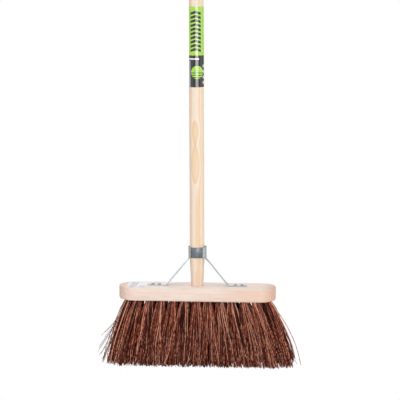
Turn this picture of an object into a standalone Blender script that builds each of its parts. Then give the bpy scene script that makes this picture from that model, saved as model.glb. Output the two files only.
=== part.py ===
# Piassava broom: a beech block set with palm fibre, on a round handle held by a galvanised bracket.
# Metres, +Z up. The origin is on the floor under the middle of the block, +X runs along the block.

import math

import bmesh
import bpy
from mathutils import Matrix, Vector

# Brush block
block_length = 0.300
block_depth = 0.064
block_height = 0.026
block_top_rounding = 0.0025
block_foot_rounding = 0.004
socket_web = 0.0025

# Handle, its foot tapered into the socket
handle_length = 1.500
handle_radius = 0.014
handle_neck_radius = 0.0119
handle_taper_length = 0.052
handle_foot_chamfer = 0.001
handle_dome_height = 0.008
handle_flat_radius = 0.006

# Printed label round the handle, its place measured up from the block's top
label_foot_height = 0.379
label_length = 0.149
label_thickness = 0.0002

# Paper sticker on the block, beside the left foot of the bracket
sticker_length = 0.037
sticker_depth = 0.049
sticker_thickness = 0.0002
sticker_corner_radius = 0.003
sticker_foot_gap = 0.001

# Bracket: a band round the handle and two stays, all of one strip
strip_thickness = 0.001
band_foot_height = 0.0550
band_height = 0.020
lap_edge_angle = math.radians(20)
lap_overlap_angle = math.radians(45)
lap_joggle_angle = math.radians(25)
lap_end_clearance = math.radians(6)
tab_half_angle = math.radians(48)
tab_lip_height = 0.0012
tab_lip_flare = 0.0009
shoulder_height = 0.003
shoulder_flattening = 0.006
leg_width = 0.012
foot_width = 0.015
foot_bend_reach = 0.0585
foot_bend_radius = 0.002
foot_bend_middle_setback = 0.0005
foot_bend_middle_rise = 0.0004
foot_length = 0.0365
foot_end_angle = math.radians(78)
first_screw_offset = 0.0145
screw_pitch = 0.0125

# Screws through the feet
screw_head_radius = 0.0034
screw_head_height = 0.0022
screw_rim_height = 0.0007
screw_shank_radius = 0.0016
screw_shank_length = 0.014
screw_point_length = 0.003
recess_span = 0.0038
recess_width = 0.0011
recess_depth = 0.0012

# Tufts: four rows in aligned columns, the outer rows a tuft shorter at each end
fibre_length = 0.122
tuft_columns = 13
tuft_rows = 4
outer_columns_left_out = 1
tuft_end_margin = 0.018
tuft_side_margin = 0.0095
tuft_hole_radius = 0.0050
tuft_hole_depth = 0.010
end_flare = 0.0485
side_flare = 0.018
strand_tip_radius = 0.0027
strand_root_depth = 0.0008
ring_strands = 7
root_ring_share = 0.60
strand_root_share = 0.25
tip_ring_share = 0.36
bend_height_share = 0.42
bend_flare_share = 0.50
bend_ring_share = 0.68

# Fits
fit_gap = 0.0003
cut_overrun = 0.002
weld_distance = 0.000003

# Facets
round_steps = 40
handle_dome_steps = 5
band_steps = 64
screw_steps = 16
screw_dome_steps = 4
end_arc_steps = 20
sticker_corner_steps = 4
foot_end_steps = 4
rounding_steps = 3
circular_profile = 0.5
smooth_angle = math.radians(35)
strand_sides = 3
plug_sides = 8
tab_columns = 8
golden_angle = math.pi * (3 - math.sqrt(5))

# Heights worked out from the sizes above
block_foot = fibre_length
block_top = block_foot + block_height
socket_depth = block_height - tuft_hole_depth - socket_web
socket_floor = block_top - socket_depth
handle_foot = socket_floor + fit_gap
handle_top = handle_foot + handle_length
handle_taper_slope = (handle_radius - handle_neck_radius) / handle_taper_length
band_foot = block_top + band_foot_height
band_top = band_foot + band_height
foot_underside = block_top + fit_gap
foot_top = foot_underside + strip_thickness
screw_seat = foot_top + fit_gap
screw_point = screw_seat - screw_shank_length

# Radii of the layers round the handle
band_inner_radius = handle_radius + fit_gap
lap_inner_radius = band_inner_radius + strip_thickness + fit_gap
left_tab_radius = band_inner_radius + strip_thickness + fit_gap
right_tab_radius = lap_inner_radius + strip_thickness + fit_gap

# Spacing of the tufts' holes, and radii within a tuft
column_pitch = (block_length - 2 * tuft_end_margin) / (tuft_columns - 1)
row_pitch = (block_depth - 2 * tuft_side_margin) / (tuft_rows - 1)
plug_radius = tuft_hole_radius - fit_gap
root_ring_radius = root_ring_share * plug_radius
strand_root_radius = strand_root_share * plug_radius


def clear_scene():
    for thing in list(bpy.data.objects):
        bpy.data.objects.remove(thing, do_unlink=True)


def new_collection(name):
    made = bpy.data.collections.new(name)
    bpy.context.scene.collection.children.link(made)
    return made


def new_material(name, colour, roughness, metallic=0.0):
    material = bpy.data.materials.new(name)
    material.use_nodes = True
    shader = material.node_tree.nodes["Principled BSDF"]
    shader.inputs["Base Color"].default_value = (*colour, 1)
    shader.inputs["Roughness"].default_value = roughness
    shader.inputs["Metallic"].default_value = metallic
    return material


def add_object(name, mesh, collection, material=None):
    made = bpy.data.objects.new(name, mesh)
    collection.objects.link(made)
    if material:
        mesh.materials.append(material)
    return made


def as_cutter(thing):
    thing.hide_render = True
    thing.display_type = "WIRE"
    return thing


def cut(thing, cutter, operation="DIFFERENCE"):
    modifier = thing.modifiers.new(cutter.name, "BOOLEAN")
    modifier.operation = operation
    modifier.solver = "EXACT"
    modifier.object = cutter


def shade_round(mesh):
    mesh.shade_smooth()
    mesh.set_sharp_from_angle(angle=smooth_angle)


def outline_mesh(name, points, thickness, foot):
    """A flat outline, filled and extruded upwards from its foot height."""
    curve = bpy.data.curves.new(name, "CURVE")
    curve.dimensions = "2D"
    curve.fill_mode = "BOTH"
    curve.extrude = thickness / 2
    spline = curve.splines.new("POLY")
    spline.points.add(len(points) - 1)
    for point, (x, y) in zip(spline.points, points):
        point.co = (x, y, 0, 1)
    spline.use_cyclic_u = True
    drawn = bpy.data.objects.new(name + "_outline", curve)
    bpy.context.scene.collection.objects.link(drawn)
    bpy.context.view_layer.update()
    graph = bpy.context.evaluated_depsgraph_get()
    mesh = bpy.data.meshes.new_from_object(drawn.evaluated_get(graph))
    bpy.data.objects.remove(drawn, do_unlink=True)
    mesh.name = name
    mesh.materials.clear()
    shape = bmesh.new()
    shape.from_mesh(mesh)
    bmesh.ops.remove_doubles(shape, verts=shape.verts, dist=weld_distance)
    for side in (-1, 1):
        cap = [face for face in shape.faces if round(face.normal.z) == side]
        bmesh.ops.dissolve_faces(shape, faces=cap)
    bmesh.ops.translate(shape, verts=shape.verts, vec=(0, 0, foot + thickness / 2))
    bmesh.ops.recalc_face_normals(shape, faces=shape.faces)
    shape.to_mesh(mesh)
    shape.free()
    return mesh


def lathe(name, profile, steps, collection, material=None):
    """A turned piece. The profile runs from its top down the outer side to its foot."""
    mesh = bpy.data.meshes.new(name)
    edges = [(i, i + 1) for i in range(len(profile) - 1)]
    mesh.from_pydata([(radius, 0, height) for radius, height in profile], edges, [])
    turned = add_object(name, mesh, collection, material)
    screw = turned.modifiers.new("turned", "SCREW")
    screw.axis = "Z"
    screw.steps = steps
    screw.render_steps = steps
    screw.use_merge_vertices = True
    screw.merge_threshold = weld_distance
    return turned


def cylinder_mesh(name, places, radius, foot, top, sides, foot_radius=None):
    """One closed cylinder, or cone, at each place."""
    shape = bmesh.new()
    for x, y in places:
        bmesh.ops.create_cone(
            shape,
            cap_ends=True,
            segments=sides,
            radius1=foot_radius or radius,
            radius2=radius,
            depth=top - foot,
            matrix=Matrix.Translation((x, y, (top + foot) / 2)),
        )
    mesh = bpy.data.meshes.new(name)
    shape.to_mesh(mesh)
    shape.free()
    return mesh


def stadium(length, depth):
    """A straight-sided outline with half-round ends."""
    radius = depth / 2
    points = []
    for side in (1, -1):
        centre = side * (length / 2 - radius)
        for step in range(end_arc_steps + 1):
            angle = side * math.pi / 2 - side * math.pi * step / end_arc_steps
            points.append((centre + side * radius * math.cos(angle), radius * math.sin(angle)))
    return points


def rounded_rectangle(low_x, high_x, low_y, high_y, radius, steps):
    points = []
    corners = (
        (high_x - radius, high_y - radius, 0),
        (low_x + radius, high_y - radius, 1),
        (low_x + radius, low_y + radius, 2),
        (high_x - radius, low_y + radius, 3),
    )
    for x, y, quarter in corners:
        for step in range(steps + 1):
            angle = math.pi / 2 * (quarter + step / steps)
            points.append((x + radius * math.cos(angle), y + radius * math.sin(angle)))
    return points


def handle_radius_at(height_above_block):
    return min(handle_radius, handle_neck_radius + handle_taper_slope * height_above_block)


def screw_places(side):
    """The two screws of a foot, the inner one first."""
    first = foot_bend_reach + first_screw_offset
    return [(side * first, 0), (side * (first + screw_pitch), 0)]


def tuft_places():
    """Name and root of each tuft, row by row from the front."""
    row_names = ("front", "midfront", "midback", "back")
    places = []
    for row, row_name in enumerate(row_names):
        y = (row - (tuft_rows - 1) / 2) * row_pitch
        skipped = outer_columns_left_out if row in (0, tuft_rows - 1) else 0
        columns = range(skipped, tuft_columns - skipped)
        for number, column in enumerate(columns, 1):
            x = (column - (tuft_columns - 1) / 2) * column_pitch
            places.append((f"tuft_{row_name}_{number:02d}", x, y))
    return places


def flared(x, y):
    """Where a point of the block's underside comes down on the floor when the fibre fans out."""
    end_reach = block_length / 2 - tuft_end_margin
    side_reach = block_depth / 2 - tuft_side_margin
    return x * (1 + end_flare / end_reach), y * (1 + side_flare / side_reach)


def build_block(parts, cutters, material):
    mesh = outline_mesh("brush_block", stadium(block_length, block_depth), block_height, block_foot)
    shape = bmesh.new()
    shape.from_mesh(mesh)
    for height, rounding in ((block_top, block_top_rounding), (block_foot, block_foot_rounding)):
        rim = [e for e in shape.edges if all(abs(v.co.z - height) < weld_distance for v in e.verts)]
        bmesh.ops.bevel(
            shape,
            geom=rim,
            offset=rounding,
            segments=rounding_steps,
            profile=circular_profile,
            affect="EDGES",
            clamp_overlap=True,
        )
    shape.to_mesh(mesh)
    shape.free()
    shade_round(mesh)
    block = add_object("brush_block", mesh, parts, material)

    socket_top = block_top + cut_overrun
    socket = cylinder_mesh(
        "socket_cutter",
        [(0, 0)],
        handle_radius_at(cut_overrun) + fit_gap,
        socket_floor,
        socket_top,
        round_steps,
        handle_radius_at(-socket_depth) + fit_gap,
    )
    cut(block, as_cutter(add_object("socket_cutter", socket, cutters)))

    places = [(x, y) for _, x, y in tuft_places()]
    holes = cylinder_mesh(
        "tuft_hole_cutter",
        places,
        tuft_hole_radius,
        block_foot - cut_overrun,
        block_foot + tuft_hole_depth,
        plug_sides,
    )
    cut(block, as_cutter(add_object("tuft_hole_cutter", holes, cutters)))

    pilots = cylinder_mesh(
        "pilot_hole_cutter",
        screw_places(-1) + screw_places(1),
        screw_shank_radius + fit_gap,
        screw_point - fit_gap,
        block_top + cut_overrun,
        screw_steps,
    )
    cut(block, as_cutter(add_object("pilot_hole_cutter", pilots, cutters)))


def build_handle(parts, material):
    dome = []
    for step in range(handle_dome_steps + 1):
        angle = math.pi / 2 * step / handle_dome_steps
        radius = handle_flat_radius + (handle_radius - handle_flat_radius) * math.sin(angle)
        dome.append((radius, handle_top - handle_dome_height * (1 - math.cos(angle))))
    tip_radius = handle_radius_at(handle_foot - block_top)
    profile = [(0, handle_top)] + dome
    profile += [
        (handle_radius, block_top + handle_taper_length),
        (tip_radius, handle_foot + handle_foot_chamfer),
        (tip_radius - handle_foot_chamfer, handle_foot),
        (0, handle_foot),
    ]
    turned = lathe("handle", profile, round_steps, parts, material)
    turned.data.shade_smooth()


def build_label(parts, material):
    inner = handle_radius + fit_gap
    outer = inner + label_thickness
    foot = block_top + label_foot_height
    top = foot + label_length
    profile = [(inner, top), (outer, top), (outer, foot), (inner, foot), (inner, top)]
    lathe("handle_label", profile, round_steps, parts, material)


def build_sticker(parts, material):
    inner_edge = -(foot_bend_reach + foot_length + sticker_foot_gap)
    points = rounded_rectangle(
        inner_edge - sticker_length,
        inner_edge,
        -sticker_depth / 2,
        sticker_depth / 2,
        sticker_corner_radius,
        sticker_corner_steps,
    )
    mesh = outline_mesh("price_sticker", points, sticker_thickness, block_top + fit_gap)
    add_object("price_sticker", mesh, parts, material)


def band_layer_radius(turned):
    """Inner radius of the band's strip, by the angle that it has gone round since its outer end."""
    if turned <= lap_overlap_angle:
        return lap_inner_radius
    step = min(1, (turned - lap_overlap_angle) / lap_joggle_angle)
    eased = step * step * (3 - 2 * step)
    return lap_inner_radius + (band_inner_radius - lap_inner_radius) * eased


def build_band(parts, material):
    """A strip wound once round the handle, its outer end lapped over its inner end at the front right."""
    full_angle = 2 * math.pi + lap_overlap_angle - lap_end_clearance
    inside = []
    outside = []
    for station in range(band_steps + 1):
        turned = full_angle * station / band_steps
        radius = band_layer_radius(turned)
        angle = lap_edge_angle + turned - math.pi / 2
        direction = Vector((math.cos(angle), math.sin(angle)))
        inside.append(direction * radius)
        outside.append(direction * (radius + strip_thickness))
    points = [tuple(point) for point in inside + outside[::-1]]
    mesh = outline_mesh("clamp_band", points, band_height, band_foot)
    shade_round(mesh)
    add_object("clamp_band", mesh, parts, material)


def stay_rows(tab_radius):
    """The strip's path from the tab's lip to the end of the foot.

    Each row is its distance from the handle's axis, its height, its half width along the strip
    and how far the row wraps round the handle, from 0 for a flat row to 1.
    """
    tab_half_width = tab_half_angle * tab_radius
    leg_half = leg_width / 2
    foot_half = foot_width / 2
    knee = band_foot - shoulder_height
    rows = [
        (tab_radius + tab_lip_flare, band_top + tab_lip_height / 2, tab_half_width, 1),
        (tab_radius, band_top - tab_lip_height / 2, tab_half_width, 1),
        (tab_radius, band_foot, tab_half_width, 1),
        (tab_radius, (band_foot + knee) / 2, (tab_half_width + leg_half) / 2, 1),
        (tab_radius, knee, leg_half, 1),
    ]
    rise = knee - foot_underside
    run = foot_bend_reach - tab_radius
    slope_length = math.hypot(rise, run)
    for along in (shoulder_flattening, slope_length - foot_bend_radius):
        share = along / slope_length
        rows.append((tab_radius + run * share, knee - rise * share, leg_half, 0))
    middle_reach = foot_bend_reach - foot_bend_middle_setback
    middle_height = foot_underside + foot_bend_middle_rise
    rows.append((middle_reach, middle_height, (leg_half + foot_half) / 2, 0))
    rows.append((foot_bend_reach + foot_bend_radius, foot_underside, foot_half, 0))
    foot_end = foot_bend_reach + foot_length
    for reach in (first_screw_offset, first_screw_offset + screw_pitch):
        if foot_bend_reach + reach < foot_end - foot_half:
            rows.append((foot_bend_reach + reach, foot_underside, foot_half, 0))
    for step in range(foot_end_steps + 1):
        angle = foot_end_angle * step / foot_end_steps
        reach = foot_end - foot_half * (1 - math.sin(angle))
        rows.append((reach, foot_underside, foot_half * math.cos(angle), 0))
    return rows


def stay_point(row, across, side):
    """A point of the strip's handle-side face. across runs from -1 at the front edge to 1 at the back."""
    reach, height, half_width, wrap = row
    angle = across * half_width / reach
    x = reach * (1 - wrap * (1 - math.cos(angle)))
    y = wrap * reach * math.sin(angle) + (1 - wrap) * across * half_width
    return side * x, y, height


def build_stay(name, side, tab_radius, parts, cutters, material):
    shape = bmesh.new()
    grid = []
    for row in stay_rows(tab_radius):
        line = [stay_point(row, 2 * column / tab_columns - 1, side) for column in range(tab_columns + 1)]
        grid.append([shape.verts.new(point) for point in line])
    for upper, lower in zip(grid, grid[1:]):
        for column in range(tab_columns):
            corners = [upper[column], lower[column], lower[column + 1], upper[column + 1]]
            shape.faces.new(corners if side > 0 else corners[::-1])
    mesh = bpy.data.meshes.new(name)
    shape.to_mesh(mesh)
    shape.free()
    stay = add_object(name, mesh, parts, material)
    solidify = stay.modifiers.new("strip", "SOLIDIFY")
    solidify.thickness = strip_thickness
    solidify.offset = 1
    solidify.use_even_offset = True
    holes = cylinder_mesh(
        name + "_hole_cutter",
        screw_places(side),
        screw_shank_radius + fit_gap,
        foot_underside - cut_overrun,
        foot_top + cut_overrun,
        screw_steps,
    )
    cut(stay, as_cutter(add_object(name + "_hole_cutter", holes, cutters)))


def recess_outline(x, y):
    """A plus sign, as the driver's cross recess."""
    long_half = recess_span / 2
    short_half = recess_width / 2
    arm = [(short_half, short_half), (short_half, long_half), (-short_half, long_half)]
    points = []
    for quarter in range(4):
        turn = Matrix.Rotation(math.pi / 2 * quarter, 2)
        points += [turn @ Vector(point) + Vector((x, y)) for point in arm]
    return points


def build_screw(name, x, y, parts, cutters, material):
    head_top = screw_seat + screw_head_height
    rim = screw_seat + screw_rim_height
    profile = [(0, head_top)]
    for step in range(1, screw_dome_steps + 1):
        angle = math.pi / 2 * step / screw_dome_steps
        profile.append((screw_head_radius * math.sin(angle), rim + (head_top - rim) * math.cos(angle)))
    profile += [
        (screw_head_radius, screw_seat),
        (screw_shank_radius, screw_seat),
        (screw_shank_radius, screw_point + screw_point_length),
        (0, screw_point),
    ]
    screw = lathe(name, profile, screw_steps, parts, material)
    screw.location = (x, y, 0)
    foot = head_top - recess_depth
    mesh = outline_mesh(name + "_recess_cutter", recess_outline(x, y), recess_depth + cut_overrun, foot)
    cut(screw, as_cutter(add_object(name + "_recess_cutter", mesh, cutters)))


def add_strand(shape, stations, turn):
    """A bundle of fibre as a three-sided bar through its stations, its end cut level with the floor."""
    centre, radius = stations[0]
    angles = [turn + 2 * math.pi * corner / strand_sides for corner in range(strand_sides)]
    corners = [centre + radius * Vector((math.cos(angle), math.sin(angle), 0)) for angle in angles]
    root_cap = shape.faces.new([shape.verts.new(corner) for corner in corners])
    cap = root_cap
    for next_centre, next_radius in stations[1:]:
        extruded = bmesh.ops.extrude_face_region(shape, geom=[cap])["geom"]
        if cap.is_valid and cap != root_cap:
            shape.faces.remove(cap)
        cap = next(part for part in extruded if isinstance(part, bmesh.types.BMFace))
        for vertex in cap.verts:
            vertex.co = next_centre + (vertex.co - centre) * (next_radius / radius)
        centre = next_centre
        radius = next_radius


def strand_stations(x, y, across_x, across_y):
    """Centre and radius of a strand at its root, bend and tip, by its place across the tuft, -1 to 1."""
    tip_x, tip_y = flared(x, y)
    tip_pitch_x, tip_pitch_y = flared(column_pitch, row_pitch)
    root_offset = Vector((across_x, across_y, 0)) * root_ring_radius
    tip_offset = Vector((across_x * tip_pitch_x, across_y * tip_pitch_y, 0)) * tip_ring_share
    root = Vector((x, y, block_foot))
    tip = Vector((tip_x, tip_y, 0))
    bend = root.lerp(tip, bend_flare_share)
    bend.z = block_foot * (1 - bend_height_share)
    bend_radius = strand_root_radius + (strand_tip_radius - strand_root_radius) * bend_height_share
    start = root + root_offset + Vector((0, 0, strand_root_depth))
    return [
        (start, strand_root_radius),
        (bend + root_offset.lerp(tip_offset, bend_ring_share), bend_radius),
        (tip + tip_offset, strand_tip_radius),
    ]


def build_tuft(name, x, y, parts, cutters, material):
    """A bundle driven into its hole: a plug of packed roots, one strand in the middle and a ring of them.

    Tufts opposite each other are mirror images, so that the whole brush is symmetrical.
    """
    plug_top = block_foot + tuft_hole_depth - fit_gap
    plug = cylinder_mesh(name, [(x, y)], plug_radius, block_foot, plug_top, plug_sides)
    tuft = add_object(name, plug, parts, material)
    tuft_turn = golden_angle * (abs(x) / column_pitch + tuft_columns * abs(y) / row_pitch)
    shape = bmesh.new()
    add_strand(shape, strand_stations(x, y, 0, 0), tuft_turn)
    for strand in range(ring_strands):
        angle = 2 * math.pi * strand / ring_strands + tuft_turn
        across_x = math.copysign(1, x) * math.cos(angle)
        across_y = math.copysign(1, y) * math.sin(angle)
        add_strand(shape, strand_stations(x, y, across_x, across_y), math.atan2(across_y, across_x))
    bmesh.ops.recalc_face_normals(shape, faces=shape.faces)
    mesh = bpy.data.meshes.new(name + "_strands")
    shape.to_mesh(mesh)
    shape.free()
    cut(tuft, as_cutter(add_object(name + "_strands", mesh, cutters)), "UNION")


def build_broom():
    clear_scene()
    parts = new_collection("piassava_broom")
    cutters = new_collection("cutters")

    beech = new_material("beech", (0.86, 0.68, 0.55), 0.6)
    pine = new_material("pine", (0.88, 0.70, 0.48), 0.5)
    film = new_material("label_film", (0.38, 0.72, 0.09), 0.3)
    paper = new_material("sticker_paper", (0.85, 0.85, 0.88), 0.6)
    zinc = new_material("zinc_plate", (0.55, 0.57, 0.58), 0.4, 1.0)
    screw_steel = new_material("screw_steel", (0.42, 0.44, 0.48), 0.35, 1.0)
    fibre = new_material("piassava", (0.19, 0.075, 0.04), 0.6)

    build_block(parts, cutters, beech)
    build_handle(parts, pine)
    build_label(parts, film)
    build_sticker(parts, paper)
    build_band(parts, zinc)
    build_stay("left_stay", -1, left_tab_radius, parts, cutters, zinc)
    build_stay("right_stay", 1, right_tab_radius, parts, cutters, zinc)
    for side, side_name in ((-1, "left"), (1, "right")):
        for (x, y), place_name in zip(screw_places(side), ("inner", "outer")):
            build_screw(f"{side_name}_{place_name}_screw", x, y, parts, cutters, screw_steel)
    for name, x, y in tuft_places():
        build_tuft(name, x, y, parts, cutters, fibre)


build_broom()
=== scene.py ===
import random
import bmesh
import bpy
from math import atan2, copysign, cos, hypot, pi, radians, sin, sqrt, tau
from mathutils import Matrix, Vector


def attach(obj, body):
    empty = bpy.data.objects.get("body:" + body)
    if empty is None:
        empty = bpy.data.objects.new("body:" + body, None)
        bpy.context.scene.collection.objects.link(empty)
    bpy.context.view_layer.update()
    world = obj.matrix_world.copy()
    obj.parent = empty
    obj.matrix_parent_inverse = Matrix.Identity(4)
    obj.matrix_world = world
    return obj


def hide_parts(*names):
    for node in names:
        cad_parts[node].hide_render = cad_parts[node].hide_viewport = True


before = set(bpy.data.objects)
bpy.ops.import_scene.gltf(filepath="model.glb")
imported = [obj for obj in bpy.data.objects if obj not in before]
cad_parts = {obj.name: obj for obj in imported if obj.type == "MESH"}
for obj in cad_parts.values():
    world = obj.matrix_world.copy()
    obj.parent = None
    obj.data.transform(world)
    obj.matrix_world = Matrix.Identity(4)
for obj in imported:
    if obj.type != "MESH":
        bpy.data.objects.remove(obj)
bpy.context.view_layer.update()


class Wire:
    # a node's output that can be used in sums
    def __init__(self, bench, socket):
        self.bench = bench
        self.socket = socket

    def sum(self, operation, *others):
        return self.bench.node("ShaderNodeMath", dict(enumerate((self, *others))), operation=operation)

    def __add__(self, other): return self.sum("ADD", other)
    def __sub__(self, other): return self.sum("SUBTRACT", other)
    def __rsub__(self, other): return self.bench.node("ShaderNodeMath", {0: other, 1: self}, operation="SUBTRACT")
    def __mul__(self, other): return self.sum("MULTIPLY", other)
    def __truediv__(self, other): return self.sum("DIVIDE", other)
    def __pow__(self, other): return self.sum("POWER", other)
    def __abs__(self): return self.sum("ABSOLUTE")
    def sine(self): return self.sum("SINE")
    def cosine(self): return self.sum("COSINE")
    def root(self): return self.sum("SQRT")
    def fraction(self): return self.sum("FRACT")
    def lower(self, other): return self.sum("MINIMUM", other)
    def higher(self, other): return self.sum("MAXIMUM", other)
    __radd__, __rmul__ = __add__, __mul__

    def rise(self, low, high):
        # 0 below low, 1 above high, smooth between; low may be the larger
        start = float(low > high)
        ends = {1: min(low, high), 2: max(low, high), 3: start, 4: 1 - start}
        return self.bench.node("ShaderNodeMapRange", {0: self, **ends}, interpolation_type="SMOOTHSTEP")

    def between(self, low, high, soft=0.0004):
        return self.rise(low - soft, low + soft) * self.rise(high + soft, high - soft)


class NodeBench:
    # adds nodes to one tree
    def __init__(self, tree):
        self.tree = tree

    def node(self, kind, values={}, output=0, **settings):
        made = self.tree.nodes.new(kind)
        for key, value in settings.items():
            if key == "stops":
                ramp = made.color_ramp
                while len(ramp.elements) < len(value):
                    ramp.elements.new(1)
                for stop, (place, colour) in zip(ramp.elements, value):
                    stop.position = place
                    stop.color = (*colour, 1)
            else:
                setattr(made, key, value)
        for key, value in values.items():
            self.feed(made.inputs[key], value)
        return Wire(self, made.outputs[output])

    def feed(self, socket, value):
        if isinstance(value, Wire):
            self.tree.links.new(value.socket, socket)
        elif socket.type == "RGBA" and len(value) == 3:
            socket.default_value = (*value, 1)
        else:
            socket.default_value = value

    def blend(self, factor, first, second):
        return self.node("ShaderNodeMix", {0: factor, 6: first, 7: second}, 2, data_type="RGBA")

    def split(self, vector):
        parts = self.node("ShaderNodeSeparateXYZ", {0: vector})
        return [Wire(self, socket) for socket in parts.socket.node.outputs]

    def join(self, x, y, z):
        return self.node("ShaderNodeCombineXYZ", {0: x, 1: y, 2: z})


class Finish(NodeBench):
    # a material and its main shader
    def __init__(self, name, **fixed):
        self.material = bpy.data.materials.new(name)
        self.material.use_nodes = True
        super().__init__(self.material.node_tree)
        self.shader = self.tree.nodes["Principled BSDF"]
        self.put(**fixed)

    def put(self, **values):
        # a socket's name is given with its spaces left out
        for socket in self.shader.inputs:
            key = socket.name.replace(" ", "")
            if key in values:
                self.feed(socket, values[key])

    def here(self):
        return self.node("ShaderNodeTexCoord", {}, "Object")

    def stretched(self, scale, place=(0, 0, 0)):
        return self.node("ShaderNodeMapping", {0: self.here(), 1: place, 3: scale})

    def noise(self, scale, detail=3.0, roughness=0.55, place=(0, 0, 0)):
        inputs = {"Vector": self.stretched(scale, place), "Scale": 1.0, "Detail": detail, "Roughness": roughness}
        return self.node("ShaderNodeTexNoise", inputs)

    def bump(self, height, strength, distance):
        self.put(Normal=self.node("ShaderNodeBump", {"Height": height, "Strength": strength, "Distance": distance}))


def newPiece(name, mesh, slot=None, replaced=(), finish=None):
    piece = bpy.data.objects.new(name, mesh)
    bpy.context.scene.collection.objects.link(piece)
    if finish:
        mesh.materials.clear()
        mesh.materials.append(finish)
    if slot:
        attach(piece, "root")
        if replaced:
            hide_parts(*replaced)
    return piece


def plainMesh(thing):
    # the thing as its modifiers leave it, in a mesh of its own
    graph = bpy.context.evaluated_depsgraph_get()
    source = thing.evaluated_get(graph)
    mesh = bpy.data.meshes.new_from_object(source, preserve_all_data_layers=True, depsgraph=graph)
    bpy.data.objects.remove(thing, do_unlink=True)
    return mesh


def meshFrom(shape, name):
    mesh = bpy.data.meshes.new(name)
    shape.to_mesh(mesh)
    shape.free()
    return mesh


def pointMesh(name, points, faces=()):
    mesh = bpy.data.meshes.new(name)
    mesh.from_pydata(points, [], faces)
    return mesh


def skinRings(shape, rows):
    # joins rings of vertices into a tube with filled ends
    count = len(rows[0])
    for upper, lower in zip(rows, rows[1:]):
        for i in range(count):
            j = (i + 1) % count
            shape.faces.new((upper[i], lower[i], lower[j], upper[j]))
    shape.faces.new(rows[0])
    shape.faces.new(rows[-1][::-1])


def skinGrid(shape, rows, flipped=False):
    # joins rows of vertices into an open sheet
    for upper, lower in zip(rows, rows[1:]):
        for i in range(len(upper) - 1):
            corners = (upper[i], lower[i], lower[i + 1], upper[i + 1])
            shape.faces.new(corners[::-1] if flipped else corners)


def ringMesh(name, rings):
    shape = bmesh.new()
    skinRings(shape, [[shape.verts.new(point) for point in ring] for ring in rings])
    bmesh.ops.recalc_face_normals(shape, faces=shape.faces)
    return meshFrom(shape, name)


def polar(radius, angle, height):
    return radius * cos(angle), radius * sin(angle), height


def circle(radius, height, sides):
    return [polar(radius, tau * i / sides, height) for i in range(sides)]


def spaced(start, end, count):
    return [start + (end - start) * i / count for i in range(count + 1)]


def eased(share):
    # from 0 to 1 with a soft start and end
    return share * share * (3 - 2 * share)


def cylinders(name, places, radius, low, high, sides):
    shape = bmesh.new()
    for x, y in places:
        where = Matrix.Translation((x, y, (low + high) / 2))
        bmesh.ops.create_cone(shape, cap_ends=True, segments=sides, radius1=radius, radius2=radius,
                              depth=high - low, matrix=where)
    return meshFrom(shape, name)


def cutAway(piece, *meshes):
    cutters = [newPiece(mesh.name, mesh) for mesh in meshes]
    for cutter in cutters:
        cut = piece.modifiers.new(cutter.name, "BOOLEAN")
        cut.operation, cut.solver, cut.object = "DIFFERENCE", "EXACT", cutter
    mesh = plainMesh(piece)
    for cutter in cutters:
        bpy.data.objects.remove(cutter, do_unlink=True)
    return mesh


def smooth(mesh, angle=35):
    mesh.shade_smooth()
    mesh.set_sharp_from_angle(angle=radians(angle))
    return mesh


def newTree(name, inputs):
    # a geometry tree's bench and its inputs by name
    tree = bpy.data.node_groups.new(name, "GeometryNodeTree")
    tree.interface.new_socket("Geometry", in_out="INPUT", socket_type="NodeSocketGeometry")
    for label, value in inputs.items():
        kind = "NodeSocketInt" if isinstance(value, int) else "NodeSocketFloat"
        tree.interface.new_socket(label, in_out="INPUT", socket_type=kind).default_value = value
    tree.interface.new_socket("Geometry", in_out="OUTPUT", socket_type="NodeSocketGeometry")
    bench = NodeBench(tree)
    given = bench.node("NodeGroupInput").socket.node.outputs
    return bench, {socket.name: Wire(bench, socket) for socket in given if socket.name}


def endTree(bench, geometry, finish):
    # turns copies into real faces and sets their finish
    solid = bench.node("GeometryNodeRealizeInstances", {"Geometry": geometry})
    done = bench.node("GeometryNodeSetMaterial", {"Geometry": solid, "Material": finish})
    bench.tree.links.new(done.socket, bench.tree.nodes.new("NodeGroupOutput").inputs[0])
    return bench.tree


def runTree(name, seedMesh, tree, values):
    # runs a node tree on a mesh and keeps the outcome as a plain mesh
    carrier = newPiece(name + "Carrier", seedMesh)
    modifier = carrier.modifiers.new(name, "NODES")
    modifier.node_group = tree
    sockets = {item.name: item.identifier for item in tree.interface.items_tree if item.in_out == "INPUT"}
    for label, value in values.items():
        modifier[sockets[label]] = value
    mesh = plainMesh(carrier)
    mesh.name = name
    return mesh


# camera, lamps and floor
studio = {
    "aim": (0.0058, 0.0, 0.3125), "distance": 2.9713, "azimuth": 5.877, "elevation": 8.274,
    "roll": -0.22, "lens": 141.25,
    "worldLight": 0.47, "floorSize": 400.0, "floorColour": (0.90, 0.90, 0.90), "white": (1.0, 1.0, 1.0),
    "floorWhite": 0.985, "shadowReach": (0.28, 0.75),  # how white the floor is, and where its shadow fades out
    # name: azimuth, elevation, distance, height of its aim, width, height, watts
    "lamps": {
        "keyPanel": (14.5, 0.0, 2.6, 0.48, 2.4, 0.36, 7.6),
        "keyCore": (14.0, 0.0, 2.58, 0.48, 1.85, 0.35, 14.9),
        "leftFill": (-62.0, 12.0, 2.6, 0.4, 2.0, 2.2, 7.0),
        "rightFill": (80.0, 8.0, 2.6, 0.4, 1.8, 2.2, 10.4),
        "backFill": (197.0, 12.0, 2.8, 0.4, 1.6, 1.6, 19.0),
        "overhead": (-12.0, 80.0, 2.7, 0.3, 3.4, 2.4, 23.0),
    },
}


def outward(azimuth, elevation):
    a, e = radians(azimuth), radians(elevation)
    return Vector((sin(a) * cos(e), -cos(a) * cos(e), sin(e)))


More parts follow.
